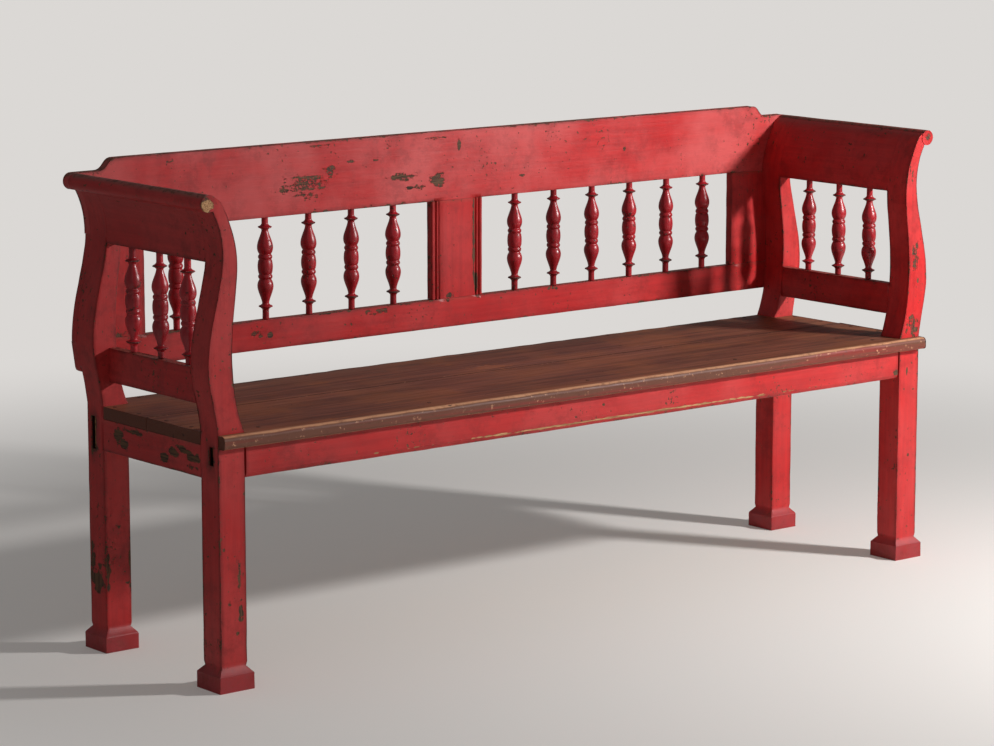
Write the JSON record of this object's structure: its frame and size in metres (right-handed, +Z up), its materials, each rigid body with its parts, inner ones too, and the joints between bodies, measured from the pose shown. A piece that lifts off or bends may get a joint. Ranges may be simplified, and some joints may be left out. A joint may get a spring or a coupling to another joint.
{
  "type": "pull-out bench bed",
  "caption": "Painted wooden bench bed with S-curved arms and a turned spindle back; a slatted frame slides out from under the seat on folding legs.",
  "frame": {"origin": "on the floor, under the middle of the bench's outer box", "axes": "+X along the bench, +Y to the back, +Z up; the frame pulls out towards -Y"},
  "size_m": [1.808, 0.4757, 0.914],
  "materials": {
    "red_paint": "worn oil paint on wood",
    "spindle_paint": "glossy worn paint on turned wood",
    "seat_paint": "dark paint, worn through",
    "bare_pine": "bare aged pine",
    "iron": "dark iron"
  },
  "bodies": {
    "bench": {"back_nails": "iron", "center_muntin": "red_paint", "crest_rail": "red_paint", "front_left_post": "red_paint", "front_right_post": "red_paint", "front_seat_board": "seat_paint", "front_tie_rail": "bare_pine", "left_arm_board": "red_paint", "left_arm_front_spindle": "spindle_paint", "left_arm_middle_spindle": "spindle_paint", "left_arm_rail": "red_paint", "left_arm_rear_spindle": "spindle_paint", "left_arm_roll": "red_paint", "left_back_spindle_1": "spindle_paint", "left_back_spindle_2": "spindle_paint", "left_back_spindle_3": "spindle_paint", "left_back_spindle_4": "spindle_paint", "left_back_spindle_5": "spindle_paint", "left_back_spindle_6": "spindle_paint", "left_back_stile": "red_paint", "left_runner": "bare_pine", "left_side_rail": "red_paint", "lower_back_rail": "red_paint", "rear_left_post": "red_paint", "rear_right_post": "red_paint", "rear_seat_board": "seat_paint", "rear_seat_rail": "bare_pine", "right_arm_board": "red_paint", "right_arm_front_spindle": "spindle_paint", "right_arm_middle_spindle": "spindle_paint", "right_arm_rail": "red_paint", "right_arm_rear_spindle": "spindle_paint", "right_arm_roll": "red_paint", "right_back_spindle_1": "spindle_paint", "right_back_spindle_2": "spindle_paint", "right_back_spindle_3": "spindle_paint", "right_back_spindle_4": "spindle_paint", "right_back_spindle_5": "spindle_paint", "right_back_spindle_6": "spindle_paint", "right_back_stile": "red_paint", "right_runner": "bare_pine", "right_side_rail": "red_paint", "seat_bearer": "bare_pine", "seat_nails": "iron"},
    "pull_out": {"bed_front_rail": "red_paint", "bed_front_cross_rail": "bare_pine", "bed_rear_cross_rail": "bare_pine", "bed_middle_bearer": "bare_pine", "left_bed_bearer": "bare_pine", "left_bed_slats": "bare_pine", "left_stop_block": "bare_pine", "left_leg_pin": "iron", "right_bed_bearer": "bare_pine", "right_bed_slats": "bare_pine", "right_stop_block": "bare_pine", "right_leg_pin": "iron"},
    "left_leg": {"left_support_leg": "bare_pine"},
    "right_leg": {"right_support_leg": "bare_pine"}
  },
  "joints": [
    {"name": "bed_slide", "type": "slide", "parent": "bench", "child": "pull_out", "axis": [0, -1, 0], "range_m": [0, 0.25]},
    {"name": "left_leg_fold", "type": "hinge", "parent": "pull_out", "child": "left_leg", "pos_m": [-0.768, -0.186, 0.395], "axis": [0, 1, 0], "range_deg": [0, 90]},
    {"name": "right_leg_fold", "type": "hinge", "parent": "pull_out", "child": "right_leg", "pos_m": [0.768, -0.186, 0.395], "axis": [0, -1, 0], "range_deg": [0, 90]}
  ]
}
